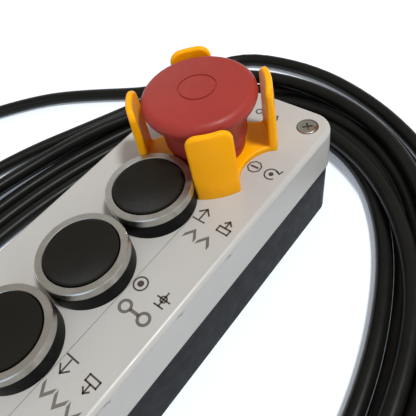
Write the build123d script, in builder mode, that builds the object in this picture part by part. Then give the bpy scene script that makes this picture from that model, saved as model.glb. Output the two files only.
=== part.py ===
"""Pendant control station: an emergency stop and three push buttons in a row, with its coiled cable.

Frame: origin at the bottom centre of the enclosure, +X across it to the legend side,
+Y along it to the emergency stop, +Z up out of the face that carries the buttons.
"""

from build123d import *

import math
import os

os.makedirs("parts", exist_ok=True)

# ---------------------------------------------------------------- driving dimensions, millimetres
PITCH = 31.0  # between neighbouring operators
HALF_WIDTH = 34.0
HALF_LENGTH = 82.0
TOP = 45.0  # outer face of the cover
SPLIT = 27.2  # where the cover meets its gasket
CORNER = 9.0  # plan radius of the enclosure's corners
WALL = 2.5

GASKET = 0.8
BASE_TOP = SPLIT - GASKET
BASE_INSET = 0.7  # the base stands back under the cover
BASE_DRAFT = 1.74  # degrees
BASE_NARROWING = BASE_TOP * math.tan(math.radians(BASE_DRAFT))
COVER_EDGE = 2.0

SCREW_X = 25.7
SCREW_Y = 73.2
BOSS_RADIUS = 4.0
MOUNT_X = 24.0
MOUNT_Y = 60.0
MOUNT_HOLE = 2.25

STOP_Y = 1.5 * PITCH
BUTTONS = {"up": 0.5 * PITCH, "common": -0.5 * PITCH, "down": -1.5 * PITCH}
BUTTON_TRAVEL = 3.5
STOP_TRAVEL = 5.0

NECK_RADIUS = 11.0  # the threaded neck of a 22 mm operator
NECK_LENGTH = 12.0
PANEL_HOLE = 11.2
FLANGE_RADIUS = 15.0
FLANGE_HEIGHT = 6.3
BEZEL_TOP = 9.5
BEZEL_INNER = 12.35
CAP_RADIUS = 12.05
CAP_TOP = 9.7
CAP_RIM = 11.4  # the dish in the cap's top ends here
CAP_DISH = 1.1  # depth of that dish
STEM = 5.0
FIT = 0.05  # radial clearance of a turned or sliding fit

LEGEND_X = 15.3  # inner edge of the legend label
LEGEND_THICKNESS = 0.15

GLAND_Z = 14.0
CABLE_RADIUS = 3.3
CABLE_DIAMETER = 2 * CABLE_RADIUS


def save(piece, label):
    """Name a finished piece and write its STEP file."""
    piece.part.label = label
    export_step(piece.part, f"parts/{label}.step")


# ---------------------------------------------------------------- enclosure
base_width = 2 * (HALF_WIDTH - BASE_INSET - BASE_NARROWING)
base_length = 2 * (HALF_LENGTH - BASE_INSET - BASE_NARROWING)
base_corner = CORNER - BASE_INSET - BASE_NARROWING
cavity_corner = base_corner - WALL

corners = [(sx * SCREW_X, sy * SCREW_Y) for sx in (-1, 1) for sy in (-1, 1)]
mount_holes = [(sx * MOUNT_X, sy * MOUNT_Y) for sx in (-1, 1) for sy in (-1, 1)]
gland_plane = Plane(origin=(0, -HALF_LENGTH, GLAND_Z), x_dir=(1, 0, 0), z_dir=(0, -1, 0))
GLAND_PAD_DEPTH = 4.0
GLAND_PAD_RADIUS = 11.9
GLAND_THREAD = 7.6

with BuildPart() as base_box:
    with BuildSketch(Plane.XY):
        RectangleRounded(base_width, base_length, base_corner)
    extrude(amount=BASE_TOP, taper=-BASE_DRAFT)
    with BuildSketch(Plane.XY.offset(WALL)):
        RectangleRounded(base_width - 2 * WALL, base_length - 2 * WALL, cavity_corner)
    extrude(amount=BASE_TOP - WALL, taper=-BASE_DRAFT, mode=Mode.SUBTRACT)
    with BuildSketch(Plane.XY.offset(WALL / 2)):
        with Locations(*corners):
            Circle(BOSS_RADIUS)
    extrude(amount=BASE_TOP - WALL / 2 - 0.2)
    with BuildSketch(gland_plane.offset(-GLAND_PAD_DEPTH)):
        Circle(GLAND_PAD_RADIUS)
    extrude(amount=GLAND_PAD_DEPTH)
    with BuildSketch(gland_plane.offset(-GLAND_PAD_DEPTH)):
        Circle(GLAND_THREAD + FIT)
    extrude(amount=GLAND_PAD_DEPTH, mode=Mode.SUBTRACT)
    with BuildSketch(Plane.XY.offset(BASE_TOP)):
        with Locations(*corners):
            Circle(1.9)
    extrude(amount=-14.0, mode=Mode.SUBTRACT)
    with BuildSketch(Plane.XY):
        with Locations(*mount_holes):
            Circle(MOUNT_HOLE)
    extrude(amount=WALL, mode=Mode.SUBTRACT)
save(base_box, "base_box")

GASKET_INSET = 1.3
GASKET_WIDTH = 1.6
with BuildPart() as cover_gasket:
    with BuildSketch(Plane.XY.offset(BASE_TOP)):
        for inset, mode in ((GASKET_INSET, Mode.ADD), (GASKET_INSET + GASKET_WIDTH, Mode.SUBTRACT)):
            RectangleRounded(
                2 * (HALF_WIDTH - inset), 2 * (HALF_LENGTH - inset), CORNER - inset, mode=mode
            )
    extrude(amount=GASKET)
save(cover_gasket, "cover_gasket")

HEAD_RECESS = 1.8
with BuildPart() as cover:
    with BuildSketch(Plane.XY.offset(SPLIT)):
        RectangleRounded(2 * HALF_WIDTH, 2 * HALF_LENGTH, CORNER)
    extrude(amount=TOP - SPLIT)
    fillet(cover.faces().sort_by(Axis.Z)[-1].edges(), COVER_EDGE)
    with BuildSketch(Plane.XY.offset(SPLIT)):
        RectangleRounded(2 * (HALF_WIDTH - WALL), 2 * (HALF_LENGTH - WALL), CORNER - WALL)
    extrude(amount=TOP - SPLIT - WALL, mode=Mode.SUBTRACT)
    with BuildSketch(Plane.XY.offset(SPLIT)):
        with Locations(*corners):
            Circle(BOSS_RADIUS)
    extrude(amount=TOP - SPLIT - WALL)
    with BuildSketch(Plane.XY.offset(TOP)):
        with Locations(*[(0, y) for y in (STOP_Y, *BUTTONS.values())]):
            Circle(PANEL_HOLE)
    extrude(amount=-WALL, mode=Mode.SUBTRACT)
    with Locations(*[(x, y, TOP) for x, y in corners]):
        CounterBoreHole(2.1, 4.1, HEAD_RECESS, depth=TOP - SPLIT)
save(cover, "cover")

SCREW_HEAD = 3.75
SCREW_HEAD_HEIGHT = 1.9
SCREW_SHANK = 29.0
SCREW_TURNS = (15, 62, 80, 40)  # how far each screw's cross recess is turned
with BuildPart() as cover_screws:
    for x, y in corners:
        with BuildSketch(Plane.XY.offset(TOP - HEAD_RECESS)):
            with Locations((x, y)):
                Circle(1.9)
        extrude(amount=-SCREW_SHANK)
        with BuildSketch(Plane.XY.offset(TOP - HEAD_RECESS)):
            with Locations((x, y)):
                Circle(SCREW_HEAD)
        extrude(amount=SCREW_HEAD_HEIGHT)
    rims = cover_screws.edges().filter_by(GeomType.CIRCLE).group_by(Axis.Z)[-1]
    fillet(rims, 0.7)
    with BuildSketch(Plane.XY.offset(TOP - HEAD_RECESS + SCREW_HEAD_HEIGHT)):
        for (x, y), turn in zip(corners, SCREW_TURNS):
            with Locations(Location((x, y, 0), (0, 0, turn))):
                Rectangle(3.8, 0.8)
                Rectangle(0.8, 3.8)
    extrude(amount=-1.3, mode=Mode.SUBTRACT)
save(cover_screws, "cover_screws")

LEGEND_RIGHT = HALF_WIDTH - COVER_EDGE
LEGEND_LOW = 3.0 - HALF_LENGTH
LEGEND_HIGH = STOP_Y - 27.4  # clear of the guard
with BuildPart() as legend_label:
    with BuildSketch(Plane.XY.offset(TOP)):
        with Locations((0.5 * (LEGEND_X + LEGEND_RIGHT), 0.5 * (LEGEND_LOW + LEGEND_HIGH))):
            Rectangle(LEGEND_RIGHT - LEGEND_X, LEGEND_HIGH - LEGEND_LOW)
        with Locations((SCREW_X, -SCREW_Y)):
            Circle(5.0, mode=Mode.SUBTRACT)
    extrude(amount=LEGEND_THICKNESS)
save(legend_label, "legend_label")

# ---------------------------------------------------------------- push buttons and their contact blocks
BORE = 9.2  # wide bore that holds the return spring
BORE_FLOOR = TOP - 9.0
GUIDE = STEM + 0.2
SEAL_THICKNESS = 0.6
SPRING_RADIUS = 7.0
WIRE_RADIUS = 0.55
SPRING_TURNS = 5
NUT_FLATS = 27.0
NUT_HEIGHT = 5.0

BLOCK_TOP = TOP - NECK_LENGTH
BLOCK_BOTTOM = TOP - 33.0
BLOCK_HALF_LENGTH = 11.0
SHELF_REACH = 18.0
CASE_REACH = 13.0
CAVITY_REACH = 11.5
STRIP = 0.8
STRIP_INNER = 5.4
STRIP_OUTER = 18.1
STRIP_HALF_WIDTH = 2.5
TIP_X = 7.0
TIP_RADIUS = 1.5
TIP_HEIGHT = 0.6
TERMINAL_X = 15.4
CONTACT_GAP = 0.1


def ring_seal(y, inner, outer, height):
    """A flat panel seal round an operator's neck."""
    with BuildPart() as seal:
        with BuildSketch(Plane.XY.offset(TOP)):
            with Locations((0, y)):
                Circle(outer)
                Circle(inner, mode=Mode.SUBTRACT)
        extrude(amount=height)
    return seal


def lock_nut(y):
    """The hexagonal nut that clamps an operator to the cover."""
    with BuildPart() as nut:
        with BuildSketch(Plane.XY.offset(TOP - WALL)):
            with Locations((0, y)):
                RegularPolygon(NUT_FLATS / 2, 6, major_radius=False)
                Circle(NECK_RADIUS + FIT, mode=Mode.SUBTRACT)
        extrude(amount=-NUT_HEIGHT)
    return nut


def return_spring(y, seat, end):
    """A helical compression spring between the neck's shoulder and the plunger's flange."""
    lift = WIRE_RADIUS + 0.1
    height = end - seat - 2 * lift
    with BuildPart() as spring:
        with BuildLine() as wire:
            Helix(height / SPRING_TURNS, height, SPRING_RADIUS, center=(0, y, seat + lift))
        with BuildSketch(Plane(origin=wire.line @ 0, z_dir=wire.line % 0)):
            Circle(WIRE_RADIUS)
        sweep(is_frenet=True)
    return spring


def contact_case(y, strip_top):
    """The moulded contact block: a case open below, with a shelf for a terminal on each side."""
    with BuildPart() as case:
        with BuildSketch(Plane.XY.offset(BLOCK_TOP)):
            with Locations((0, y)):
                Rectangle(2 * SHELF_REACH, 2 * BLOCK_HALF_LENGTH)
        extrude(amount=strip_top - BLOCK_TOP)
        with BuildSketch(Plane.XY.offset(BLOCK_BOTTOM)):
            with Locations((0, y)):
                Rectangle(2 * CASE_REACH, 2 * BLOCK_HALF_LENGTH)
        extrude(amount=BLOCK_TOP - BLOCK_BOTTOM)
        with BuildSketch(Plane.XY.offset(BLOCK_BOTTOM)):
            with Locations((0, y)):
                Rectangle(2 * CAVITY_REACH, 2 * STEM + 1.2)
        extrude(amount=BLOCK_TOP - BLOCK_BOTTOM - 1.5, mode=Mode.SUBTRACT)
        with BuildSketch(Plane.XY.offset(BLOCK_TOP)):
            with Locations((0, y)):
                Circle(GUIDE)
        extrude(amount=-1.5, mode=Mode.SUBTRACT)
        with BuildSketch(Plane.XY.offset(strip_top)):
            with Locations(*[(side * 0.5 * (CAVITY_REACH + SHELF_REACH), y) for side in (-1, 1)]):
                Rectangle(SHELF_REACH - CAVITY_REACH + 0.1, 2 * STRIP_HALF_WIDTH + 0.2)
        extrude(amount=-STRIP - FIT, mode=Mode.SUBTRACT)
        with BuildSketch(Plane.XY.offset(strip_top)):
            with Locations((-TERMINAL_X, y), (TERMINAL_X, y)):
                Circle(1.5)
        extrude(amount=1.8, mode=Mode.SUBTRACT)
    return case


def contact_bridge(y, strip_top, tip_side):
    """The moving bridge on the plunger's end, with a tip at each end facing the fixed contacts."""
    with BuildPart() as bridge:
        with BuildSketch(Plane.XY.offset(strip_top)):
            with Locations((0, y)):
                SlotOverall(18.0, 4.6)
                Circle(2.0, mode=Mode.SUBTRACT)
        extrude(amount=-STRIP)
        with BuildSketch(Plane.XY.offset(strip_top if tip_side > 0 else strip_top - STRIP)):
            with Locations((-TIP_X, y), (TIP_X, y)):
                Circle(TIP_RADIUS)
        extrude(amount=tip_side * TIP_HEIGHT)
    return bridge


bridge_top = TOP - NECK_LENGTH - 2.0
closing_strip = bridge_top - STRIP - 2 * TIP_HEIGHT - BUTTON_TRAVEL - CONTACT_GAP
opening_strip = TOP - NECK_LENGTH - 2.4
stop_bridge_top = opening_strip - STRIP - 2 * TIP_HEIGHT - CONTACT_GAP
contact_levels = {y: (closing_strip, 1) for y in BUTTONS.values()} | {STOP_Y: (opening_strip, -1)}

for name, y in BUTTONS.items():
    with BuildPart() as button_body:
        with BuildSketch(Plane.XY.offset(TOP - NECK_LENGTH)):
            with Locations((0, y)):
                Circle(NECK_RADIUS)
        extrude(amount=NECK_LENGTH)
        with BuildSketch(Plane.XY.offset(TOP)):
            with Locations((0, y)):
                Circle(FLANGE_RADIUS)
        extrude(amount=FLANGE_HEIGHT)
        with BuildSketch(Plane.XY.offset(TOP)):
            with Locations((0, y)):
                Circle(14.0)
                Circle(NECK_RADIUS, mode=Mode.SUBTRACT)
        extrude(amount=SEAL_THICKNESS, mode=Mode.SUBTRACT)
        with BuildSketch(Plane.XY.offset(TOP + FLANGE_HEIGHT)):
            with Locations((0, y)):
                Circle(13.1)
        extrude(amount=2.5 - FLANGE_HEIGHT, mode=Mode.SUBTRACT)
        with BuildSketch(Plane.XY.offset(BORE_FLOOR)):
            with Locations((0, y)):
                Circle(BORE)
        extrude(amount=TOP + 2.5 - BORE_FLOOR, mode=Mode.SUBTRACT)
        with BuildSketch(Plane.XY.offset(TOP - NECK_LENGTH)):
            with Locations((0, y)):
                Circle(GUIDE)
        extrude(amount=BORE_FLOOR - TOP + NECK_LENGTH, mode=Mode.SUBTRACT)
    save(button_body, f"{name}_button_body")

    with BuildPart() as bezel:
        with BuildSketch(Plane.XZ.offset(-y)):
            with BuildLine():
                Polyline(
                    (BEZEL_INNER, TOP + FLANGE_HEIGHT),
                    (FLANGE_RADIUS, TOP + FLANGE_HEIGHT),
                    (FLANGE_RADIUS, TOP + BEZEL_TOP - 0.3),
                    (FLANGE_RADIUS - 0.3, TOP + BEZEL_TOP),
                    (BEZEL_INNER + 0.25, TOP + BEZEL_TOP),
                    (BEZEL_INNER, TOP + BEZEL_TOP - 0.25),
                    close=True,
                )
            make_face()
        revolve(axis=Axis((0, y, 0), (0, 0, 1)))
    save(bezel, f"{name}_bezel")

    with BuildPart() as cap:
        with BuildSketch(Plane.XY.offset(TOP + 6.7)):
            with Locations((0, y)):
                Circle(CAP_RADIUS)
        extrude(amount=CAP_TOP - 6.7)
        with BuildSketch(Plane.XZ.offset(-y)):
            with BuildLine():
                Line((0, TOP + CAP_TOP), (0, TOP + CAP_TOP - CAP_DISH))
                dish_side = (6, TOP + CAP_TOP - 0.77 * CAP_DISH)
                ThreePointArc((0, TOP + CAP_TOP - CAP_DISH), dish_side, (CAP_RIM, TOP + CAP_TOP))
                Line((CAP_RIM, TOP + CAP_TOP), (0, TOP + CAP_TOP))
            make_face()
        revolve(axis=Axis((0, y, 0), (0, 0, 1)), mode=Mode.SUBTRACT)
        with BuildSketch(Plane.XY.offset(TOP + 6.7)):
            with Locations((0, y)):
                Circle(3.0)
        extrude(amount=1.2, mode=Mode.SUBTRACT)
    save(cap, f"{name}_cap")

    with BuildPart() as plunger:
        for radius, low, high in (
            (2.0, bridge_top - 1.8, bridge_top),
            (STEM, bridge_top, TOP + 4.7),
            (8.4, TOP + 4.7, TOP + 6.7),
            (3.0, TOP + 6.7, TOP + 7.9),
        ):
            with BuildSketch(Plane.XY.offset(low)):
                with Locations((0, y)):
                    Circle(radius)
            extrude(amount=high - low)
    save(plunger, f"{name}_plunger")

    save(return_spring(y, BORE_FLOOR, TOP + 4.7), f"{name}_return_spring")
    save(ring_seal(y, NECK_RADIUS + FIT, 13.9, SEAL_THICKNESS), f"{name}_panel_seal")
    save(lock_nut(y), f"{name}_lock_nut")
    save(contact_case(y, closing_strip), f"{name}_contact_block")
    save(contact_bridge(y, bridge_top, -1), f"{name}_contact_bridge")

# ---------------------------------------------------------------- emergency stop
PLATE = 2.1  # the guard's plate
COLLAR_RADIUS = 13.7
COLLAR_TOP = TOP + 10.0
SKIRT_FOOT = TOP + 8.2
SKIRT_BORE = 14.1
HEAD_RADIUS = 20.0
HEAD_TOP = TOP + 28.2

with BuildPart() as stop_body:
    for radius, low, high, mode in (
        (NECK_RADIUS, TOP - NECK_LENGTH, TOP + PLATE, Mode.ADD),
        (COLLAR_RADIUS, TOP + PLATE, COLLAR_TOP, Mode.ADD),
        (BORE, BORE_FLOOR, COLLAR_TOP, Mode.SUBTRACT),
        (GUIDE, TOP - NECK_LENGTH, BORE_FLOOR, Mode.SUBTRACT),
    ):
        with BuildSketch(Plane.XY.offset(low)):
            with Locations((0, STOP_Y)):
                Circle(radius)
        extrude(amount=high - low, mode=mode)
save(stop_body, "stop_body")

SOCKET_TOP = TOP + 21.0
with BuildPart() as stop_head:
    with BuildSketch(Plane.XZ.offset(-STOP_Y)):
        with BuildLine():
            crown = ThreePointArc((0, HEAD_TOP), (8.6, HEAD_TOP - 0.2), (17.0, HEAD_TOP - 0.8))
            rim = TangentArc(crown @ 1, (HEAD_RADIUS, TOP + 24.4), tangent=crown % 1)
            lip = ThreePointArc(rim @ 1, (19.6, TOP + 23.0), (18.7, TOP + 21.5))
            flare = ThreePointArc(lip @ 1, (16.4, TOP + 17.4), (15.2, TOP + 12.6))
            Polyline(
                flare @ 1,
                (15.0, SKIRT_FOOT),
                (SKIRT_BORE, SKIRT_FOOT),
                (SKIRT_BORE, TOP + 17.0),
                (7.5, TOP + 17.0),
                (7.5, TOP + 13.0),
                (STEM + FIT, TOP + 13.0),
                (STEM + FIT, SOCKET_TOP),
                (0, SOCKET_TOP),
                (0, HEAD_TOP),
            )
        make_face()
    revolve(axis=Axis((0, STOP_Y, 0), (0, 0, 1)))
    with BuildSketch(Plane.XY.offset(HEAD_TOP)):
        with Locations((0, STOP_Y)):
            Circle(6.7)
            Circle(6.05, mode=Mode.SUBTRACT)
    extrude(amount=-0.45, mode=Mode.SUBTRACT)
save(stop_head, "stop_head")

STOP_FLANGE = TOP + 6.5
with BuildPart() as stop_plunger:
    for radius, low, high in (
        (2.0, stop_bridge_top - 1.8, stop_bridge_top),
        (STEM, stop_bridge_top, SOCKET_TOP - 0.1),
        (8.4, STOP_FLANGE, STOP_FLANGE + 2.0),
    ):
        with BuildSketch(Plane.XY.offset(low)):
            with Locations((0, STOP_Y)):
                Circle(radius)
        extrude(amount=high - low)
save(stop_plunger, "stop_plunger")

save(return_spring(STOP_Y, BORE_FLOOR, STOP_FLANGE), "stop_return_spring")
save(ring_seal(STOP_Y, NECK_RADIUS + FIT, 13.4, SEAL_THICKNESS), "stop_panel_seal")
save(lock_nut(STOP_Y), "stop_lock_nut")
save(contact_case(STOP_Y, opening_strip), "stop_contact_block")
save(contact_bridge(STOP_Y, stop_bridge_top, 1), "stop_contact_bridge")

# The guard: a plate with four hollow sides, and a finger standing on each of its corners.
FINGER_ANGLE = 43.2  # from the X axis, so that the hollows towards the neighbours are the wider
FINGER_HALF_WIDTH = 7.6
FINGER_INNER = 22.3
FINGER_FOOT = 25.3
FINGER_TOP = TOP + 27.8
FINGER_CORNER = 4.2
FINGER_EDGE = 1.05
FOOT_FILLET = 1.2
PLATE_RADIUS = FINGER_INNER + 0.9
PLATE_EDGE = 0.7
SIDE_HOLLOW = 13.8
END_HOLLOW = 15.4
finger_angles = [turn + side * FINGER_ANGLE for turn in (0, 180) for side in (-1, 1)]


def reach(edge):
    """How far the middle of an edge is from the emergency stop's axis."""
    middle = edge @ 0.5
    return math.hypot(middle.X, middle.Y - STOP_Y)


def runs_along_hollow(edge):
    """True for the edges of the plate's top along its four hollow sides."""
    return (edge @ 0.5).Z > TOP + PLATE - 0.05 and NECK_RADIUS + 1 < reach(edge) < PLATE_RADIUS - 1


def stands_at_foot(edge):
    """True for the edges where a finger's inner face meets the top of the plate."""
    level = abs((edge @ 0.5).Z - TOP - PLATE) < 0.05
    return level and abs(reach(edge) - FINGER_INNER) < 0.1 and edge.length > FINGER_HALF_WIDTH


with BuildPart() as guard_fingers:
    with BuildSketch(Plane.XZ.offset(-STOP_Y)):
        with BuildLine():
            Polyline((FINGER_INNER, FINGER_TOP), (FINGER_INNER, TOP), (FINGER_FOOT, TOP))
            lean = ThreePointArc((FINGER_FOOT, TOP), (25.1, TOP + 16.0), (24.6, FINGER_TOP))
            Line(lean @ 1, (FINGER_INNER, FINGER_TOP))
        make_face()
    revolve(axis=Axis((0, STOP_Y, 0), (0, 0, 1)))
    with BuildSketch(Plane.XY.offset(TOP)):
        for angle in finger_angles:
            with Locations(Location((0, STOP_Y, 0), (0, 0, angle))):
                with Locations((FINGER_INNER + FINGER_CORNER, 0)):
                    Rectangle(4 * FINGER_CORNER, 2 * FINGER_HALF_WIDTH)
    extrude(amount=FINGER_TOP - TOP, mode=Mode.INTERSECT)
    for angle in finger_angles:
        outward = Plane(origin=(0, STOP_Y, 0), z_dir=Vector(1, 0, 0).rotate(Axis.Z, angle), x_dir=(0, 0, 1))
        with BuildSketch(outward.offset(FINGER_INNER - 4)):
            with Locations(*[(FINGER_TOP, side * FINGER_HALF_WIDTH) for side in (-1, 1)]):
                Rectangle(2 * FINGER_CORNER, 2 * FINGER_CORNER)
            shoulder = FINGER_HALF_WIDTH - FINGER_CORNER
            with Locations(*[(FINGER_TOP - FINGER_CORNER, side * shoulder) for side in (-1, 1)]):
                Circle(FINGER_CORNER, mode=Mode.SUBTRACT)
        extrude(amount=12, mode=Mode.SUBTRACT)
    fillet(guard_fingers.edges().filter_by(lambda edge: (edge @ 0.5).Z > TOP + 0.5), FINGER_EDGE)

with BuildPart() as stop_guard:
    with BuildSketch(Plane.XY.offset(TOP)):
        with Locations((0, STOP_Y)):
            Circle(PLATE_RADIUS)
            Circle(NECK_RADIUS + FIT, mode=Mode.SUBTRACT)
        with Locations((-PITCH, STOP_Y), (PITCH, STOP_Y)):
            Circle(SIDE_HOLLOW, mode=Mode.SUBTRACT)
        with Locations((0, STOP_Y - PITCH), (0, STOP_Y + PITCH)):
            Circle(END_HOLLOW, mode=Mode.SUBTRACT)
    extrude(amount=PLATE)
    fillet(stop_guard.edges().filter_by(runs_along_hollow), PLATE_EDGE)
    add(guard_fingers.part)
    fillet(stop_guard.edges().filter_by(stands_at_foot), FOOT_FILLET)
    with BuildSketch(Plane.XY.offset(TOP)):
        with Locations((0, STOP_Y)):
            Circle(13.5)
    extrude(amount=SEAL_THICKNESS, mode=Mode.SUBTRACT)
save(stop_guard, "stop_guard")

# ---------------------------------------------------------------- terminals and wiring
with BuildPart() as fixed_contacts:
    for y, (strip_top, tip_side) in contact_levels.items():
        for side in (-1, 1):
            with BuildSketch(Plane.XY.offset(strip_top)):
                with Locations((side * 0.5 * (STRIP_INNER + STRIP_OUTER), y)):
                    Rectangle(STRIP_OUTER - STRIP_INNER, 2 * STRIP_HALF_WIDTH)
                with Locations((side * TERMINAL_X, y)):
                    Circle(1.6, mode=Mode.SUBTRACT)
            extrude(amount=-STRIP)
            with BuildSketch(Plane.XY.offset(strip_top if tip_side > 0 else strip_top - STRIP)):
                with Locations((side * TIP_X, y)):
                    Circle(TIP_RADIUS)
            extrude(amount=tip_side * TIP_HEIGHT)
save(fixed_contacts, "fixed_contacts")

with BuildPart() as terminal_screws:
    for y, (strip_top, _) in contact_levels.items():
        for side in (-1, 1):
            with BuildSketch(Plane.XY.offset(strip_top - STRIP)):
                with Locations((side * TERMINAL_X, y)):
                    Circle(1.5)
            extrude(amount=STRIP + 1.7)
            with BuildSketch(Plane.XY.offset(strip_top - STRIP)):
                with Locations((side * TERMINAL_X, y)):
                    Circle(2.2)
            extrude(amount=-1.8)
            with BuildSketch(Plane.XY.offset(strip_top - STRIP - 1.8)):
                with Locations((side * TERMINAL_X, y)):
                    Rectangle(3.6, 0.6)
            extrude(amount=0.8, mode=Mode.SUBTRACT)
save(terminal_screws, "terminal_screws")

CORE_RADIUS = 0.8
CORE_BEND = 2.0
LANE_X = 20.6
SHEATH_END = -70.0


def wire(*points):
    """One insulated wire along rounded corners."""
    with BuildPart() as run:
        with BuildLine() as path:
            FilletPolyline(*points, radius=CORE_BEND)
        with BuildSketch(Plane(origin=path.line @ 0, z_dir=path.line % 0)):
            Circle(CORE_RADIUS)
        sweep()
    return run.part


levels = sorted(contact_levels.items())
with BuildPart() as core_wires:
    for lane, (y, (strip_top, _)) in enumerate(levels):
        height = 12.6 - 2.2 * lane
        end = strip_top - STRIP / 2
        start = (0.5 + 1.4 * (lane % 2), SHEATH_END, GLAND_Z + 1.4 - 1.8 * (lane // 2))
        add(
            wire(
                start,
                (start[0], SHEATH_END + 4, start[2]),
                (LANE_X, SHEATH_END + 9, height),
                (LANE_X, y, height),
                (LANE_X, y, end),
                (STRIP_OUTER + 0.05, y, end),
            )
        )
    for (near, (near_top, _)), (far, (far_top, _)) in zip(levels, levels[1:]):
        add(
            wire(
                (-STRIP_OUTER - 0.05, near + 1.5, near_top - STRIP / 2),
                (-LANE_X, near + 1.5, near_top - STRIP / 2),
                (-LANE_X, far - 1.5, far_top - STRIP / 2),
                (-STRIP_OUTER - 0.05, far - 1.5, far_top - STRIP / 2),
            )
        )
save(core_wires, "core_wires")

# ---------------------------------------------------------------- cable gland
GLAND_FLATS = 19.0
FLANGE_FOOT = 4.0
DOME_HEX = 8.0
DOME_LENGTH = 18.0
MOUTH = FLANGE_FOOT + DOME_LENGTH
SPIGOT = 8.0
SEAL_DEPTH = 4.0
SEAL_RADIUS = 6.0

with BuildPart() as gland_body:
    with BuildSketch(gland_plane.offset(-9.0)):
        Circle(GLAND_THREAD)
    extrude(amount=9.0 + FLANGE_FOOT + SPIGOT)
    with BuildSketch(gland_plane):
        RegularPolygon(GLAND_FLATS / 2, 6, major_radius=False)
    extrude(amount=FLANGE_FOOT)
    with BuildSketch(gland_plane.offset(-9.0)):
        Circle(CABLE_RADIUS + 0.2)
    extrude(amount=9.0 + FLANGE_FOOT + SPIGOT, mode=Mode.SUBTRACT)
save(gland_body, "gland_body")

with BuildPart() as gland_lock_nut:
    with BuildSketch(gland_plane.offset(-GLAND_PAD_DEPTH)):
        RegularPolygon(GLAND_FLATS / 2, 6, major_radius=False)
        Circle(GLAND_THREAD + FIT, mode=Mode.SUBTRACT)
    extrude(amount=-4.0)
save(gland_lock_nut, "gland_lock_nut")

with BuildPart() as gland_seal:
    with BuildSketch(gland_plane.offset(FLANGE_FOOT + SPIGOT)):
        Circle(SEAL_RADIUS)
        Circle(CABLE_RADIUS, mode=Mode.SUBTRACT)
    extrude(amount=SEAL_DEPTH)
save(gland_seal, "gland_seal")

with BuildPart() as gland_dome_nut:
    with BuildSketch(gland_plane.offset(FLANGE_FOOT)):
        RegularPolygon(GLAND_FLATS / 2, 6, major_radius=False)
    extrude(amount=DOME_HEX)
    with BuildSketch(gland_plane.offset(FLANGE_FOOT + DOME_HEX)):
        Circle(9.2)
    with BuildSketch(gland_plane.offset(MOUTH)):
        Circle(5.4)
    loft()
    with BuildSketch(gland_plane.offset(FLANGE_FOOT)):
        Circle(GLAND_THREAD + FIT)
    extrude(amount=SPIGOT, mode=Mode.SUBTRACT)
    with BuildSketch(gland_plane.offset(FLANGE_FOOT + SPIGOT)):
        Circle(SEAL_RADIUS)
    extrude(amount=SEAL_DEPTH, mode=Mode.SUBTRACT)
    with BuildSketch(gland_plane.offset(FLANGE_FOOT)):
        Circle(CABLE_RADIUS + 0.2)
    extrude(amount=DOME_LENGTH, mode=Mode.SUBTRACT)
save(gland_dome_nut, "gland_dome_nut")

with BuildPart() as cable_inner_end:
    with BuildSketch(gland_plane.offset(MOUTH)):
        Circle(CABLE_RADIUS)
    extrude(amount=-(MOUTH + HALF_LENGTH + SHEATH_END))
save(cable_inner_end, "cable_inner_end")

# ---------------------------------------------------------------- free cable: lead, coil, tail and plug
CABLE_EXIT = (0, -HALF_LENGTH - MOUTH, GLAND_Z)
lead_route = [
    CABLE_EXIT,
    (0, -120, 14),
    (3.4, -132, 11.6),
    (12.6, -140.5, 8.2),
    (24.8, -143.1, 5.2),
    (36.6, -139.1, 3.4),
]
tail_route = [
    (82, 97, 3.4),
    (58, 121, 3.4),
    (22, 142, 3.4),
    (-20, 152, 3.4),
    (-66, 143, 3.4),
    (-74, 97, 3.4),
    (-125, 72, 3.4),
    (-148, 54, 3.4),
    (-175, 17, 3.4),
    (-179, -19, 4.6),
    (-171, -55, 9.0),
    (-153, -87, 9.6),
]


def cable_tube(label, route):
    """A cable along straight runs joined by tangent arcs, each as large as its two runs allow."""
    points = [Vector(*p) for p in route]
    radii = []
    for before, here, after in zip(points, points[1:], points[2:]):
        turn = math.radians((here - before).get_angle(after - here))
        shorter = min((here - before).length, (after - here).length)
        radii.append(0.45 * shorter / math.tan(turn / 2))
    with BuildPart() as tube:
        with BuildLine() as path:
            FilletPolyline(*points, radius=radii)
        with BuildSketch(Plane(origin=path.line @ 0, z_dir=path.line % 0)):
            Circle(CABLE_RADIUS)
        sweep()
    length = path.wire().length
    swept = math.pi * CABLE_RADIUS**2 * length
    print(label, "radii", [round(r, 1) for r in radii], "length", round(length, 1))
    print(label, "volume over section x length", round(tube.part.volume / swept, 4))
    return tube, path.line


lead, lead_line = cable_tube("cable_lead", lead_route)
save(lead, "cable_lead")
tail, tail_line = cable_tube("cable_tail", tail_route)
save(tail, "cable_tail")

# The coil lies flat round the enclosure: an oval ring of turns in two layers.
COIL_X = -2.0
COIL_Y = -21.0
COIL_INNER = (84.0, 125.0)
COIL_OUTER = (124.0, 160.0)
COIL_HEIGHT = 2 * CABLE_DIAMETER + 1.0
with BuildPart() as cable_coil:
    with BuildSketch(Plane.XY):
        with Locations((COIL_X, COIL_Y)):
            Ellipse(*COIL_OUTER)
            Ellipse(*COIL_INNER, mode=Mode.SUBTRACT)
    extrude(amount=COIL_HEIGHT)
    fillet(cable_coil.faces().sort_by(Axis.Z)[-1].edges(), 4.0)
save(cable_coil, "cable_coil")

# The plug's own plane: the tail's end, with the normal on the way that the tail is going.
plug_dir = (tail_line % 1).normalized()
plug_plane = Plane(origin=tail_line @ 1, x_dir=Vector(0, 0, 1).cross(plug_dir), z_dir=plug_dir)
CLAMP_BACK = -11.0  # the clamp nut starts this far back along the cable
CLAMP_FRONT = 1.0
SHELL_FRONT = 26.0
BARREL_FRONT = 38.0
BARREL_RADIUS = 7.4
INSERT_RADIUS = 6.4

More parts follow.
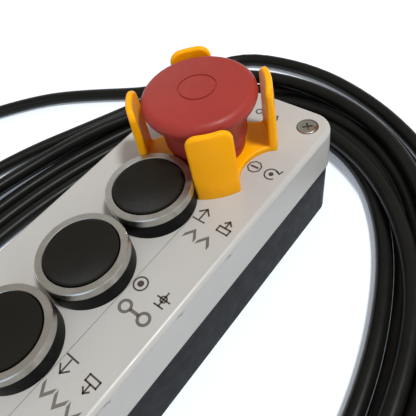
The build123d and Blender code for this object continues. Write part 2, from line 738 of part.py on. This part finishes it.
with BuildPart() as plug_clamp_nut:
    with BuildSketch(plug_plane.offset(CLAMP_BACK)):
        Circle(5.4)
    with BuildSketch(plug_plane.offset(CLAMP_FRONT)):
        Circle(7.8)
    loft()
    with BuildSketch(plug_plane.offset(CLAMP_BACK)):
        Circle(CABLE_RADIUS + FIT)
    extrude(amount=-CLAMP_BACK, mode=Mode.SUBTRACT)
save(plug_clamp_nut, "plug_clamp_nut")

with BuildPart() as plug_shell:
    for radius, low, high, mode in (
        (8.4, CLAMP_FRONT, SHELL_FRONT, Mode.ADD),
        (BARREL_RADIUS, SHELL_FRONT, BARREL_FRONT, Mode.ADD),
        (INSERT_RADIUS, CLAMP_FRONT + 3.0, BARREL_FRONT, Mode.SUBTRACT),
    ):
        with BuildSketch(plug_plane.offset(low)):
            Circle(radius)
        extrude(amount=high - low, mode=mode)
save(plug_shell, "plug_shell")

with BuildPart() as plug_coupling_ring:
    with BuildSketch(plug_plane.offset(SHELL_FRONT + 0.2)):
        Circle(9.6)
        Circle(BARREL_RADIUS + FIT, mode=Mode.SUBTRACT)
    extrude(amount=BARREL_FRONT - SHELL_FRONT + 0.8)
save(plug_coupling_ring, "plug_coupling_ring")

with BuildPart() as plug_insert:
    with BuildSketch(plug_plane.offset(BARREL_FRONT - 16.0)):
        Circle(INSERT_RADIUS)
    extrude(amount=12.0)
    with BuildSketch(plug_plane.offset(BARREL_FRONT - 4.0)):
        with PolarLocations(3.6, 5):
            Circle(0.8)
    extrude(amount=-6.0, mode=Mode.SUBTRACT)
save(plug_insert, "plug_insert")

print("plug axis from", tail_line @ 1, "along", plug_dir)
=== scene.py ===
import math

import bpy
from mathutils import Matrix, Vector


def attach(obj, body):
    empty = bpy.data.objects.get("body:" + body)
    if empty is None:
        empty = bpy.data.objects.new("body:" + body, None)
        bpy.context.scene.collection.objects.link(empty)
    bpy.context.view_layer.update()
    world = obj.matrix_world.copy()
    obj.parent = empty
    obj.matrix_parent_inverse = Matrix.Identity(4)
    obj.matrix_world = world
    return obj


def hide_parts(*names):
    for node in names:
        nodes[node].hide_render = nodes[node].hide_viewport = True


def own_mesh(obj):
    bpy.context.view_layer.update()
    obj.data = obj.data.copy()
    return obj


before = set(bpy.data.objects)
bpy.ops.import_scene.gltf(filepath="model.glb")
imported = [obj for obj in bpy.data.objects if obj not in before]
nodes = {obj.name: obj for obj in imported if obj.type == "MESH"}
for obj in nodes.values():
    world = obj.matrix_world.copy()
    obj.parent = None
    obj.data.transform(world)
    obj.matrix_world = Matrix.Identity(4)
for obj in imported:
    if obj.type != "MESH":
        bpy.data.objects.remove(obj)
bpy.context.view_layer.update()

scene = bpy.context.scene
MM = 0.001


def mm(*values):
    """Millimetres to the frame's metres: lengths and places below are in mm unless they say so."""
    return Vector(values) * MM


# ------------------------------------------------------------------ camera
# Solved from the ellipses of the bezels, the head and the screw, and from the cover's edges.
CAMERA_PLACE = (94.98, -43.32, 171.70)
CAMERA_RIGHT = Vector((0.76727055, 0.62001657, -0.16393703))
CAMERA_FORWARD = Vector((-0.49660366, 0.41264074, -0.76361799))
camera_data = bpy.data.cameras.new("camera")
camera = bpy.data.objects.new("camera", camera_data)
scene.collection.objects.link(camera)
camera_data.sensor_width = 36.0
camera_data.lens = 41.88
camera_data.shift_x = 0.0196
camera_data.shift_y = -0.0221
camera_data.clip_start = 0.01
camera_data.clip_end = 20.0
camera_axes = Matrix((CAMERA_RIGHT, CAMERA_RIGHT.cross(CAMERA_FORWARD), -CAMERA_FORWARD))
camera.matrix_world = Matrix.Translation(mm(*CAMERA_PLACE)) @ camera_axes.transposed().to_4x4()
scene.camera = camera

# ------------------------------------------------------------------ the cable
CABLE_DIAMETER = 6.6
REST_HEIGHT = CABLE_DIAMETER / 2 + 0.1
LEAD_ROUTE = [
    (0, -104, 14),
    (0, -120, 14),
    (3.4, -132, 11.6),
    (12.6, -140.5, 8.2),
    (24.8, -143.1, 5.2),
    (36.6, -139.1, 3.4),
]
TAIL_ROUTE = [
    (82, 97, 3.4),
    (58, 121, 3.4),
    (22, 142, 3.4),
    (-20, 152, 3.4),
    (-66, 143, 3.4),
    (-77, 99.5, 3.4),
    (-125, 72, 3.4),
    (-148, 54, 3.4),
    (-175, 17, 3.4),
    (-179, -19, 4.6),
    (-171, -55, 9.0),
    (-153, -87, 9.6),
]
# The coil's inner outline is an ellipse, here its centre and its two half widths.
COIL_CENTRE = (-2.0, -21.0)
COIL_INNER = (84.0, 125.0)
FIRST_ANGLE = -60
POINTS_PER_TURN = 24
# How far each turn lies outside the coil's inner outline, at every 30 degrees from FIRST_ANGLE.
TURNS = [
    (5.5, 4.8, 4.5, 4.8, 8.0, 6.5, 1.5, -5.5, -4.5, 0.5, 6.5, 10.5),
    (13.2, 11.8, 11.3, 11.7, 15.0, 13.5, 9.0, 2.5, 3.4, 8.0, 13.5, 17.5),
    (20.0, 18.6, 18.1, 18.6, 22.2, 20.9, 17.0, 10.5, 11.8, 16.0, 20.6, 24.5),
    (26.8, 25.4, 24.9, 25.7, 29.8, 30.0, 24.8, 19.0, 25.0, 24.5, 26.8, 24.0),
    (16.0, 15.5, 13.2, 14.8, 9.0, 4.5, 12.5, 15.0, 18.8, 30.5, 35.0, 31.5),
    (23.5, 23.0, 20.4, 22.2, 25.3, 26.8, 32.4, 27.6, 42.0, 41.0, 42.0, 38.5),
    (34.5, 34.0, 33.5, 36.0),
]


def finer(values):
    """The values with one more between each two, on the smooth curve through them."""
    last = len(values) - 1
    result = []
    for i, value in enumerate(values[:-1]):
        before, after, beyond = values[max(i - 1, 0)], values[i + 1], values[min(i + 2, last)]
        result += [value, (9 * (value + after) - before - beyond) / 16]
    return result + [values[-1]]


def clear_height(offsets, heights, i):
    """The lowest height at which point i rests on the floor and on the turns made before it."""
    height = REST_HEIGHT
    for j in range(i - POINTS_PER_TURN, -1, -POINTS_PER_TURN):
        aside = [offsets[i] - offsets[j]]
        if j >= 1:
            aside.append(offsets[i - 1] - offsets[j - 1])
            aside.append((aside[0] + aside[-1]) / 2)
        if i + 1 < len(offsets):
            aside.append(offsets[i + 1] - offsets[j + 1])
            aside.append((aside[0] + aside[-1]) / 2)
        crossing = min(aside) < 0 < max(aside)
        gap = 0.0 if crossing else min(abs(a) for a in aside)
        if gap < CABLE_DIAMETER:
            height = max(height, heights[j] + math.sqrt(CABLE_DIAMETER**2 - gap**2))
    return height


def coil_points():
    """The coil's control points, each lying as low as the turns under it allow."""
    offsets = finer([offset for turn in TURNS for offset in turn])
    heights, points = [], []
    for i, offset in enumerate(offsets):
        heights.append(clear_height(offsets, heights, i))
        angle = math.radians(FIRST_ANGLE + i * 360 / POINTS_PER_TURN)
        points.append(
            (
                COIL_CENTRE[0] + (COIL_INNER[0] + offset) * math.cos(angle),
                COIL_CENTRE[1] + (COIL_INNER[1] + offset) * math.sin(angle),
                heights[-1],
            )
        )
    return points


def nurbs_curve(name, points, radius, resolution):
    """A round cord through the points."""
    curve = bpy.data.curves.new(name, "CURVE")
    curve.dimensions = "3D"
    spline = curve.splines.new("NURBS")
    spline.points.add(len(points) - 1)
    for point, place in zip(spline.points, points):
        point.co = (*mm(*place), 1.0)
        point.radius = radius * MM
    spline.order_u = 3
    spline.use_endpoint_u = True
    spline.resolution_u = resolution
    curve.bevel_depth = 1.0
    curve.bevel_resolution = 6
    curve.use_fill_caps = True
    piece = bpy.data.objects.new(name, curve)
    scene.collection.objects.link(piece)
    return piece


cable = nurbs_curve("cable", LEAD_ROUTE + coil_points() + TAIL_ROUTE, CABLE_DIAMETER / 2, 6)
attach(cable, "enclosure")
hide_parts("cable_lead", "cable_coil", "cable_tail")


# ------------------------------------------------------------------ materials
PATCH_WAVES = 45.0
GLOSS_WAVES = 220.0


def parts_of(made):
    """A material's node tree and its shader."""
    return made.node_tree, made.node_tree.nodes["Principled BSDF"]


def new_material(name):
    made = bpy.data.materials.new(name)
    made.use_nodes = True
    return made


def add(tree, kind, **settings):
    """A new node; each setting is one of its own properties or, failing that, an input."""
    node = tree.nodes.new(kind)
    for key, value in settings.items():
        if hasattr(node, key):
            setattr(node, key, value)
        else:
            node.inputs[key.replace("_", " ").title()].default_value = value
    return node


def noise(tree, coords, scale, detail=4.0, stretch=None):
    """A noise texture in object coordinates: scale is in waves a metre."""
    node = add(tree, "ShaderNodeTexNoise", scale=scale, detail=detail)
    if stretch:
        mapping = add(tree, "ShaderNodeMapping")
        mapping.inputs["Scale"].default_value = stretch
        tree.links.new(coords, mapping.inputs["Vector"])
        coords = mapping.outputs["Vector"]
    tree.links.new(coords, node.inputs["Vector"])
    return node.outputs["Fac"]


def spread(tree, value, low, high, from_low=0.35, from_high=0.65):
    """The value stretched so that from_low becomes low and from_high becomes high."""
    node = add(tree, "ShaderNodeMapRange")
    node.inputs["From Min"].default_value = from_low
    node.inputs["From Max"].default_value = from_high
    node.inputs["To Min"].default_value = low
    node.inputs["To Max"].default_value = high
    tree.links.new(value, node.inputs["Value"])
    return node.outputs["Result"]


def tint(tree, factor, first, second):
    """The first colour where factor is 0 and the second where it is 1; either may be a socket."""
    node = add(tree, "ShaderNodeMix", data_type="RGBA")
    tree.links.new(factor, node.inputs["Factor"])
    for socket, colour in (("A", first), ("B", second)):
        target = [s for s in node.inputs if s.name == socket and s.type == "RGBA"][0]
        if isinstance(colour, tuple):
            target.default_value = (*colour, 1.0)
        else:
            tree.links.new(colour, target)
    return [s for s in node.outputs if s.type == "RGBA"][0]


def product(tree, first, second):
    node = add(tree, "ShaderNodeMath", operation="MULTIPLY")
    tree.links.new(first, node.inputs[0])
    tree.links.new(second, node.inputs[1])
    return node.outputs["Value"]


def bump(tree, shader, height, strength, distance):
    """Bump from the height; the distance is in metres."""
    node = add(tree, "ShaderNodeBump", strength=strength, distance=distance)
    tree.links.new(height, node.inputs["Height"])
    tree.links.new(node.outputs["Normal"], shader.inputs["Normal"])


def shade(colour, factor):
    return tuple(c * factor for c in colour)


def moulded(name, colour, rough, grain=2500.0, grain_depth=0.00002, vary=0.08, metal=0.0, shine=0.5):
    """A surface with slow colour variation, uneven gloss and a fine grain, as moulding leaves it."""
    made = new_material(name)
    tree, shader = parts_of(made)
    coords = add(tree, "ShaderNodeTexCoord").outputs["Object"]
    patches = spread(tree, noise(tree, coords, PATCH_WAVES), 0.0, 1.0)
    mottle = tint(tree, patches, shade(colour, 1 - vary), shade(colour, 1 + vary))
    tree.links.new(mottle, shader.inputs["Base Color"])
    gloss = spread(tree, noise(tree, coords, GLOSS_WAVES, 6.0), rough * 0.88, rough * 1.12)
    tree.links.new(gloss, shader.inputs["Roughness"])
    bump(tree, shader, noise(tree, coords, grain, 2.0), 0.35, grain_depth)
    shader.inputs["Metallic"].default_value = metal
    shader.inputs["Specular IOR Level"].default_value = shine
    return made


# The heights, in metres, between which the scuffs fade in and between which they fade out.
SCUFFS_FADE_IN = (0.0418, 0.0424)
SCUFFS_FADE_OUT = (0.0430, 0.0436)
SCUFF_DARK = (0.17, 0.14, 0.11)
RUST = (0.20, 0.10, 0.05)


def add_scuffs(made):
    """Dark scuffs along the lower side of the cover's rounded edge."""
    tree, shader = parts_of(made)
    clean = shader.inputs["Base Color"].links[0].from_socket
    coords = add(tree, "ShaderNodeTexCoord").outputs["Object"]
    place = add(tree, "ShaderNodeSeparateXYZ")
    tree.links.new(coords, place.inputs["Vector"])
    above = spread(tree, place.outputs["Z"], 0.0, 1.0, *SCUFFS_FADE_IN)
    below = spread(tree, place.outputs["Z"], 1.0, 0.0, *SCUFFS_FADE_OUT)
    grain = noise(tree, coords, 330.0, 3.0, stretch=(1.0, 0.4, 1.0))
    specks = spread(tree, grain, 0.0, 1.0, 0.64, 0.68)
    scuffs = product(tree, product(tree, above, below), specks)
    tree.links.new(tint(tree, scuffs, clean, SCUFF_DARK), shader.inputs["Base Color"])


def let_light_in(made):
    """Light goes a few millimetres into thin plastic, red furthest."""
    shader = parts_of(made)[1]
    shader.inputs["Subsurface Weight"].default_value = 0.35
    shader.inputs["Subsurface Radius"].default_value = (1.0, 0.35, 0.05)
    shader.inputs["Subsurface Scale"].default_value = 0.004


def turned_metal(name):
    """Metal with fine rings round the piece's own axis."""
    made = new_material(name)
    tree, shader = parts_of(made)
    generated = add(tree, "ShaderNodeTexCoord").outputs["Generated"]
    centred = add(tree, "ShaderNodeMapping")
    centred.inputs["Location"].default_value = (-0.5, -0.5, 0.0)
    centred.inputs["Scale"].default_value = (1.0, 1.0, 0.0)
    tree.links.new(generated, centred.inputs["Vector"])
    rings = add(tree, "ShaderNodeTexWave", wave_type="RINGS", rings_direction="SPHERICAL")
    rings.inputs["Scale"].default_value = 30.0
    rings.inputs["Distortion"].default_value = 1.2
    tree.links.new(centred.outputs["Vector"], rings.inputs["Vector"])
    bump(tree, shader, rings.outputs["Fac"], 0.05, 0.00002)
    shader.inputs["Base Color"].default_value = (0.48, 0.465, 0.43, 1)
    shader.inputs["Metallic"].default_value = 1.0
    coords = add(tree, "ShaderNodeTexCoord").outputs["Object"]
    gloss = spread(tree, noise(tree, coords, 300.0), 0.28, 0.38)
    tree.links.new(gloss, shader.inputs["Roughness"])
    return made


def rusty_zinc(name):
    """Zinc plate with patches of brown rust, which are rougher."""
    made = new_material(name)
    tree, shader = parts_of(made)
    coords = add(tree, "ShaderNodeTexCoord").outputs["Object"]
    rusted = spread(tree, noise(tree, coords, 260.0, 6.0), 0.0, 1.0, 0.52, 0.68)
    tree.links.new(tint(tree, rusted, (0.34, 0.33, 0.29), RUST), shader.inputs["Base Color"])
    tree.links.new(spread(tree, rusted, 0.28, 0.75, 0.0, 1.0), shader.inputs["Roughness"])
    shader.inputs["Metallic"].default_value = 0.85
    bump(tree, shader, noise(tree, coords, 1800.0), 0.4, 0.00004)
    return made


cover_white = moulded("cover_white", (0.45, 0.43, 0.40), 0.34, vary=0.02)
add_scuffs(cover_white)
base_grey = moulded("base_grey", (0.0078, 0.0080, 0.0086), 0.40, vary=0.04, shine=0.03)
black_plastic = moulded("black_plastic", (0.004, 0.004, 0.004), 0.38, vary=0.12, shine=0.05)
cap_black = moulded("cap_black", (0.0075, 0.0063, 0.0045), 0.28, grain=4000.0, vary=0.12, shine=0.24)
stop_red = moulded("stop_red", (0.32, 0.034, 0.025), 0.42, grain=5000.0, vary=0.05, shine=0.22)
guard_yellow = moulded("guard_yellow", (1.0, 0.40, 0.001), 0.30, vary=0.03, shine=0.15)
let_light_in(guard_yellow)
rubber = moulded("rubber", (0.012, 0.012, 0.012), 0.65, vary=0.15)
nylon = moulded("nylon", (0.62, 0.59, 0.52), 0.45)
block_plastic = moulded("block_plastic", (0.10, 0.10, 0.11), 0.5)
brass = moulded("brass", (0.72, 0.50, 0.20), 0.28, metal=1.0)
spring_steel = moulded("spring_steel", (0.50, 0.50, 0.50), 0.25, metal=1.0)
wire_red = moulded("wire_insulation", (0.30, 0.04, 0.03), 0.4)
plug_nickel = moulded("plug_nickel", (0.56, 0.55, 0.53), 0.27, grain=900.0, metal=1.0)
legend_dark = moulded("legend_dark", (0.055, 0.038, 0.030), 0.5, vary=0.2)
legend_grey = moulded("legend_grey", (0.125, 0.112, 0.090), 0.5, vary=0.2)
bezel_metal = turned_metal("bezel_metal")
zinc = rusty_zinc("zinc")
# Extruded sheath: its grain is coarser and its colour varies more.
sheath = moulded(
    "sheath", (0.0075, 0.0072, 0.0058), 0.34, grain=1600.0, grain_depth=0.00004, vary=0.18, shine=0.16
)


def paint(made, *names):
    for name in names:
        materials = nodes[name].data.materials
        materials.clear()
        materials.append(made)


BUTTONS = ("up", "common", "down")
paint(cover_white, "cover", "legend_label")
paint(base_grey, "base_box")
paint(rubber, "cover_gasket", "gland_seal", "stop_panel_seal")
paint(zinc, "cover_screws", "terminal_screws")
paint(black_plastic, "stop_lock_nut", "gland_body", "gland_lock_nut", "gland_dome_nut", "plug_insert")
paint(stop_red, "stop_head", "stop_body")
paint(guard_yellow, "stop_guard")
paint(nylon, "stop_plunger")
paint(block_plastic, "stop_contact_block")
paint(spring_steel, "stop_return_spring")
paint(brass, "stop_contact_bridge", "fixed_contacts")
paint(wire_red, "core_wires")
paint(sheath, "cable_inner_end")
paint(plug_nickel, "plug_clamp_nut", "plug_shell", "plug_coupling_ring")
for button in BUTTONS:
    paint(black_plastic, f"{button}_button_body", f"{button}_lock_nut")
    paint(bezel_metal, f"{button}_bezel")
    paint(cap_black, f"{button}_cap")
    paint(nylon, f"{button}_plunger")
    paint(rubber, f"{button}_panel_seal")
    paint(block_plastic, f"{button}_contact_block")
    paint(spring_steel, f"{button}_return_spring")
    paint(brass, f"{button}_contact_bridge")
cable.data.materials.append(sheath)

# ------------------------------------------------------------------ return springs
# Each one is replaced by a copy with a mesh of its own, attached to the enclosure.
TRAVEL = {"up": 3.5, "common": 3.5, "down": 3.5, "stop": 5.0}
for operator, travel in TRAVEL.items():
    node = f"{operator}_return_spring"
    spring = bpy.data.objects.new(f"{operator}_spring", nodes[node].data.copy())
    scene.collection.objects.link(spring)
    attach(spring, "enclosure")
    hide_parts(node)
    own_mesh(spring)


# ------------------------------------------------------------------ legends
PRINT_THICKNESS = 0.03


def stroke(start, end, width):
    """A straight stroke's outline, half its width past each end."""
    a, b = Vector(start), Vector(end)
    along = (b - a).normalized() * width / 2
    side = Vector((-along.y, along.x))
    return [a - along - side, b + along - side, b + along + side, a - along + side]


def strokes(points, width):
    return [stroke(a, b, width) for a, b in zip(points, points[1:])]


def around(radius, angles):
    return [Vector((math.cos(angle), math.sin(angle))) * radius for angle in angles]


def arc(radius, width, start, sweep, sides):
    """A bent bar's outline: along its outer edge and back along its inner one."""
    angles = [math.radians(start + sweep * i / sides) for i in range(sides + 1)]
    return around(radius, angles) + around(radius - width, angles[::-1])


def ring(radius, width, sides=28, start=0.0):
    """A ring, as the outlines of its two halves."""
    return [arc(radius, width, start + half, 180.0, sides // 2) for half in (0.0, 180.0)]


def disc(radius, sides=28):
    return [around(radius, [math.tau * i / sides for i in range(sides)])]


def shifted(parts, dx, dy):
    return [[Vector(p) + Vector((dx, dy)) for p in part] for part in parts]


def flipped(parts):
    return [[Vector((p[0], -p[1])) for p in reversed(part)] for part in parts]


def printed(name, parts, z, made):
    """Flat printed shapes as one thin raised mesh; parts are outlines in mm."""
    corners, faces = [], []
    for part in parts:
        doubled_area = sum(a[0] * b[1] - a[1] * b[0] for a, b in zip(part, part[1:] + part[:1]))
        outline = part if doubled_area > 0 else part[::-1]
        low = list(range(len(corners), len(corners) + len(outline)))
        high = [i + len(outline) for i in low]
        corners += [mm(p[0], p[1], z) for p in outline]
        corners += [mm(p[0], p[1], z + PRINT_THICKNESS) for p in outline]
        faces += [low[::-1], high]
        faces += [(low[i - 1], low[i], high[i], high[i - 1]) for i in range(len(outline))]
    data = bpy.data.meshes.new(name)
    data.from_pydata(corners, [], faces)
    piece = bpy.data.objects.new(name, data)
    scene.collection.objects.link(piece)
    data.materials.append(made)
    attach(piece, "enclosure")


# The glyphs, each drawn about its own middle.
THIN = 0.55
arrow_bar = (
    strokes([(0, -1.9), (0, 2.5)], THIN)
    + strokes([(-1.9, 0.7), (0, 2.6), (1.9, 0.7)], THIN)
    + strokes([(-2.3, -2.5), (2.3, -2.5)], THIN)
)
load_arrow = (
    strokes([(-2.1, -2.5), (2.1, -2.5), (2.1, -0.5), (-2.1, -0.5), (-2.1, -2.5)], THIN)
    + strokes([(-1.2, 1.2), (0, 2.4), (1.2, 1.2)], THIN)
    + strokes([(0, -0.4), (0, 2.3)], THIN)
)
target = ring(2.6, THIN) + disc(1.1)
branch = (
    strokes([(-2.3, 0.0), (2.3, 0.0)], THIN)
    + strokes([(0, -2.4), (0, 2.4)], THIN)
    + ring(1.3, THIN)
    + strokes([(-1.6, -2.5), (1.6, -2.5)], THIN)
)
octagon = ring(2.8, THIN, sides=8, start=22.5) + strokes([(-1.2, 0), (1.2, 0)], 0.8)
release = (
    [arc(2.6, THIN, start=40, sweep=280, sides=28)]
    + strokes([(1.0, 2.2), (2.4, 1.4), (2.9, 2.9)], THIN)
    + disc(0.9)
)


def chevrons(count, pitch, width, height, bold):
    """A row of upward chevrons; bold is a limb's height where it is cut upright."""
    parts = []
    foot, peak = -height / 2, height / 2
    for i in range(count):
        middle = (i - (count - 1) / 2) * pitch
        for end in (middle - width / 2, middle + width / 2):
            parts.append([(end, foot), (middle, peak - bold), (middle, peak), (end, foot + bold)])
    return parts


bold_up = chevrons(2, 5.4, 4.6, 4.9, 1.7)
bold_down = flipped(chevrons(3, 5.2, 4.6, 4.9, 1.7))
bold_ring = ring(2.4, 1.0)
bold_common = (
    shifted(bold_ring, -3.8, 0) + shifted(bold_ring, 3.8, 0) + strokes([(-1.2, 0), (1.2, 0)], 1.1)
)
# Where the print stands. GLYPH_Y and BOLD_Y are from each button's own middle.
GLYPH_Y = 4.8
BOLD_Y = -3.35
FIRST_X = 18.0
SECOND_X = 27.6
STOP_Y = 46.8
SMALL_Y = 71.8
FILM_TOP = 45.16
COVER_TOP = 45.01
# Each button's middle, its two thin glyphs, its bold glyph and where along x that one stands.
LEGENDS = {
    "up": (15.5, arrow_bar, load_arrow, bold_up, 22.4),
    "common": (-15.5, target, branch, bold_common, 23.0),
    "down": (-46.5, flipped(arrow_bar), flipped(load_arrow), bold_down, 23.6),
}
for button, (y, first, second, bold, bold_x) in LEGENDS.items():
    thin_parts = shifted(first, FIRST_X, y + GLYPH_Y) + shifted(second, SECOND_X, y + GLYPH_Y)
    bold_parts = shifted(bold, bold_x, y + BOLD_Y)
    printed(f"{button}_legend", thin_parts, FILM_TOP, legend_dark)
    printed(f"{button}_legend_bold", bold_parts, FILM_TOP, legend_grey)
stop_parts = shifted(octagon, 20.3, STOP_Y) + shifted(release, 27.2, STOP_Y)
printed("stop_legend", stop_parts, COVER_TOP, legend_dark)
small = shifted(ring(1.6, 0.6, sides=8, start=22.5), 5.2, SMALL_Y)
for i in range(3):
    small += shifted(strokes([(-0.9, -1.0), (0, 1.0), (0.9, -1.0)], 0.5), 8.2 + 2.4 * i, SMALL_Y)
printed("stop_legend_small", small, COVER_TOP, legend_dark)
# The fine line that the film's inner edge makes on the cover: a painted dark line of shade where the
# film's thin edge steps down to the cover.
film_edge_shade = strokes([(15.17, -78.8), (15.17, 19.0)], 0.22)
# Painted shade: a thin dark strip stands in for the shadow along the film's edge.
printed("legend_edge_shade", film_edge_shade, COVER_TOP, legend_grey)


# ------------------------------------------------------------------ floor and light
# Sizes, places and powers here are in metres and watts.
FLOOR_REACH = 3
floor_mesh = bpy.data.meshes.new("floor")
corners = [(x * FLOOR_REACH, y * FLOOR_REACH, 0) for x, y in ((-1, -1), (1, -1), (1, 1), (-1, 1))]
floor_mesh.from_pydata(corners, [], [(0, 1, 2, 3)])
floor = bpy.data.objects.new("floor", floor_mesh)
scene.collection.objects.link(floor)
floor_white = moulded("floor_white", (0.86, 0.89, 0.94), 0.9, vary=0.01, shine=0.1)
floor_shader = parts_of(floor_white)[1]
floor_shader.inputs["Emission Color"].default_value = (0.80, 0.90, 1.0, 1)
floor_shader.inputs["Emission Strength"].default_value = 0.18
floor_mesh.materials.append(floor_white)

scene.view_settings.view_transform = "Standard"
world = bpy.data.worlds.new("world")
scene.world = world
world.use_nodes = True
world.node_tree.nodes["Background"].inputs["Color"].default_value = (1.0, 0.95, 0.87, 1)
world.node_tree.nodes["Background"].inputs["Strength"].default_value = 0.42


def area_light(name, place, look_at, size, power, colour):
    data = bpy.data.lights.new(name, "AREA")
    data.shape = "RECTANGLE"
    data.size, data.size_y = size
    data.energy = power
    data.color = colour
    lamp = bpy.data.objects.new(name, data)
    scene.collection.objects.link(lamp)
    lamp.location = place
    lamp.rotation_euler = (Vector(look_at) - Vector(place)).to_track_quat("-Z", "Y").to_euler()


area_light("key", (0.55, 0.2, 1.45), (0, 0.0, 0.04), (0.2, 0.2), 18.5, (0.94, 0.97, 1.0))
area_light("window", (0.5, -0.9, 0.6), (0, 0, 0.03), (0.8, 0.6), 2.6, (0.50, 0.70, 1.0))
area_light("side_window", (-1.05, 0.6, 0.7), (0, 0, 0.03), (0.7, 0.5), 1.2, (0.80, 0.90, 1.0))
